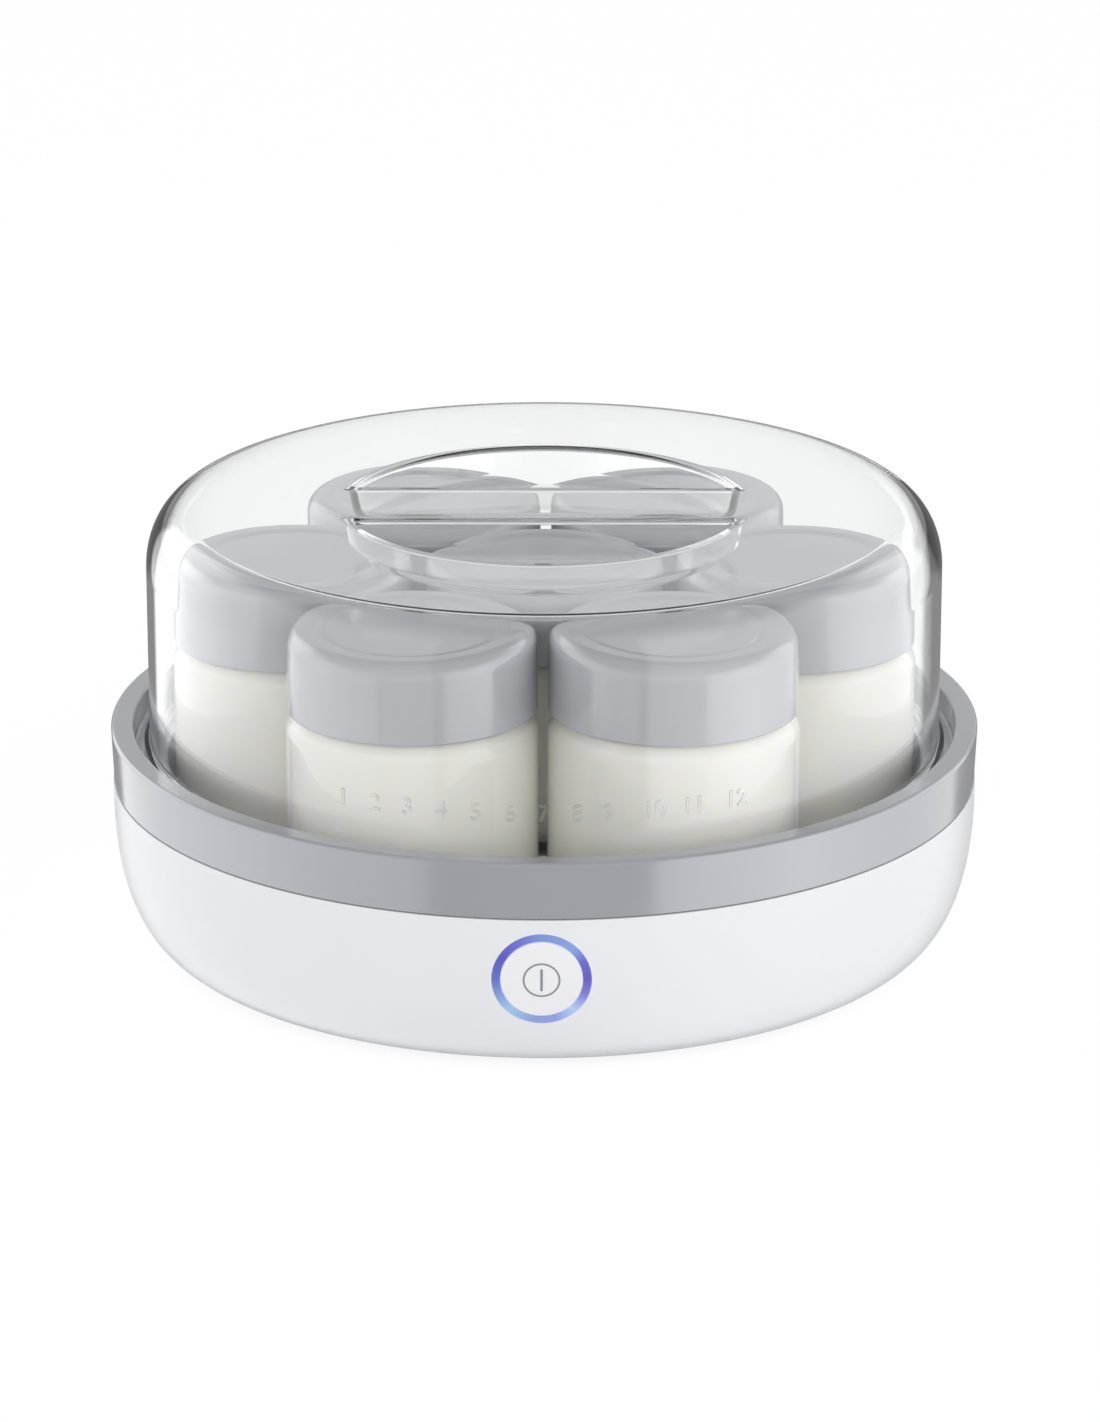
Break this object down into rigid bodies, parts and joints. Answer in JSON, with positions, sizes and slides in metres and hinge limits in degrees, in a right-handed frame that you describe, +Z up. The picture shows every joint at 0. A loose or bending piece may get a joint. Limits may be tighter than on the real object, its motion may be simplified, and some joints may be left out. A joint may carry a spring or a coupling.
{
  "type": "yogurt maker",
  "caption": "Round electric yogurt maker: white bowl-shaped base with a lit push button, grey housing, lidded glass jars in a well, and a clear lift-off cover with a grip bar.",
  "frame": {"origin": "on the table under the middle of the machine, at the undersides of its feet", "axes": "+Z up along the machine's vertical axis, -Y towards the front with the power button, +X to the right seen from the front"},
  "size_m": [0.2358, 0.2358, 0.1215],
  "materials": {
    "white_plastic": "smooth white moulding, soft gloss",
    "button_plastic": "smooth white moulding, soft gloss, with a grey circle-and-bar icon",
    "grey_plastic": "smooth light grey moulding, glossy",
    "lid_plastic": "smooth light grey moulding, soft gloss",
    "clear_plastic": "clear polished moulding",
    "jar_glass": "clear pressed glass, faintly green",
    "yogurt": "smooth set yogurt, creamy white",
    "light_guide": "frosted light guide, lit blue",
    "led_lens": "clear lens",
    "black_rubber": "matt moulded rubber",
    "aluminium_plate": "rolled sheet, satin",
    "fuse_metal": "bright tinned case",
    "spring_steel": "satin strip",
    "screw_steel": "zinc plated",
    "silicone_sleeve": "matt silicone",
    "circuit_board": "green solder mask",
    "black_plastic": "matt",
    "blue_plastic": "glossy",
    "green_plastic": "matt",
    "grey_wire": "satin sleeve",
    "blue_wire": "satin sleeve",
    "red_wire": "satin sleeve",
    "black_wire": "satin sleeve"
  },
  "bodies": {
    "base": {"base_shell": "white_plastic", "upper_housing": "grey_plastic", "heating_plate": "aluminium_plate", "heater_element": "silicone_sleeve", "temperature_sensor": "black_plastic", "sensor_clip": "spring_steel", "thermal_fuse": "fuse_metal", "control_board": "circuit_board", "tact_switch": "black_plastic", "light_ring": "light_guide", "board_bracket": "white_plastic", "power_board": "circuit_board", "relay": "blue_plastic", "capacitor": "black_plastic", "terminal_block": "green_plastic", "ribbon_cable": "grey_wire", "heater_lead_1": "blue_wire", "heater_lead_2": "red_wire", "sensor_lead": "black_wire", "cord_gland": "black_rubber", "led_1": "led_lens", "foot_1": "black_rubber", "base_screw_1": "screw_steel", "led_2": "led_lens", "foot_2": "black_rubber", "base_screw_2": "screw_steel", "led_3": "led_lens", "foot_3": "black_rubber", "base_screw_3": "screw_steel", "led_4": "led_lens", "foot_4": "black_rubber", "base_screw_4": "screw_steel", "bracket_screw_1": "screw_steel", "bracket_screw_2": "screw_steel"},
    "button": {"power_button": "button_plastic"},
    "cover": {"cover": "clear_plastic"},
    "jar_1": {"jar_1": "jar_glass", "yogurt_1": "yogurt"},
    "lid_1": {"lid_1": "lid_plastic"},
    "jar_2": {"jar_2": "jar_glass", "yogurt_2": "yogurt"},
    "lid_2": {"lid_2": "lid_plastic"},
    "jar_3": {"jar_3": "jar_glass", "yogurt_3": "yogurt"},
    "lid_3": {"lid_3": "lid_plastic"},
    "jar_4": {"jar_4": "jar_glass", "yogurt_4": "yogurt"},
    "lid_4": {"lid_4": "lid_plastic"},
    "jar_5": {"jar_5": "jar_glass", "yogurt_5": "yogurt"},
    "lid_5": {"lid_5": "lid_plastic"},
    "jar_6": {"jar_6": "jar_glass", "yogurt_6": "yogurt"},
    "lid_6": {"lid_6": "lid_plastic"},
    "jar_7": {"jar_7": "jar_glass", "yogurt_7": "yogurt"},
    "lid_7": {"lid_7": "lid_plastic"}
  },
  "joints": [
    {"name": "button_press", "type": "slide", "parent": "base", "child": "button", "axis": [0, 1, 0], "range_m": [0, 0.0012], "stiffness_N_per_m": 800, "springref_m": -0.001},
    {"name": "cover_lift", "type": "slide", "parent": "base", "child": "cover", "axis": [0, 0, 1], "range_m": [0, 0.12]},
    {"name": "jar_1_lift", "type": "slide", "parent": "base", "child": "jar_1", "axis": [0, 0, 1], "range_m": [0, 0.0035]},
    {"name": "lid_1_twist", "type": "hinge", "parent": "jar_1", "child": "lid_1", "pos_m": [0, 0, 0.084], "axis": [0, 0, 1], "range_deg": [0, 90]},
    {"name": "jar_2_lift", "type": "slide", "parent": "base", "child": "jar_2", "axis": [0, 0, 1], "range_m": [0, 0.0035]},
    {"name": "lid_2_twist", "type": "hinge", "parent": "jar_2", "child": "lid_2", "pos_m": [0.068, 0, 0.084], "axis": [0, 0, 1], "range_deg": [0, 90]},
    {"name": "jar_3_lift", "type": "slide", "parent": "base", "child": "jar_3", "axis": [0, 0, 1], "range_m": [0, 0.0035]},
    {"name": "lid_3_twist", "type": "hinge", "parent": "jar_3", "child": "lid_3", "pos_m": [0.034, 0.05889, 0.084], "axis": [0, 0, 1], "range_deg": [0, 90]},
    {"name": "jar_4_lift", "type": "slide", "parent": "base", "child": "jar_4", "axis": [0, 0, 1], "range_m": [0, 0.0035]},
    {"name": "lid_4_twist", "type": "hinge", "parent": "jar_4", "child": "lid_4", "pos_m": [-0.034, 0.05889, 0.084], "axis": [0, 0, 1], "range_deg": [0, 90]},
    {"name": "jar_5_lift", "type": "slide", "parent": "base", "child": "jar_5", "axis": [0, 0, 1], "range_m": [0, 0.0035]},
    {"name": "lid_5_twist", "type": "hinge", "parent": "jar_5", "child": "lid_5", "pos_m": [-0.068, 0, 0.084], "axis": [0, 0, 1], "range_deg": [0, 90]},
    {"name": "jar_6_lift", "type": "slide", "parent": "base", "child": "jar_6", "axis": [0, 0, 1], "range_m": [0, 0.0035]},
    {"name": "lid_6_twist", "type": "hinge", "parent": "jar_6", "child": "lid_6", "pos_m": [-0.034, -0.05889, 0.084], "axis": [0, 0, 1], "range_deg": [0, 90]},
    {"name": "jar_7_lift", "type": "slide", "parent": "base", "child": "jar_7", "axis": [0, 0, 1], "range_m": [0, 0.0035]},
    {"name": "lid_7_twist", "type": "hinge", "parent": "jar_7", "child": "lid_7", "pos_m": [0.034, -0.05889, 0.084], "axis": [0, 0, 1], "range_deg": [0, 90]}
  ]
}
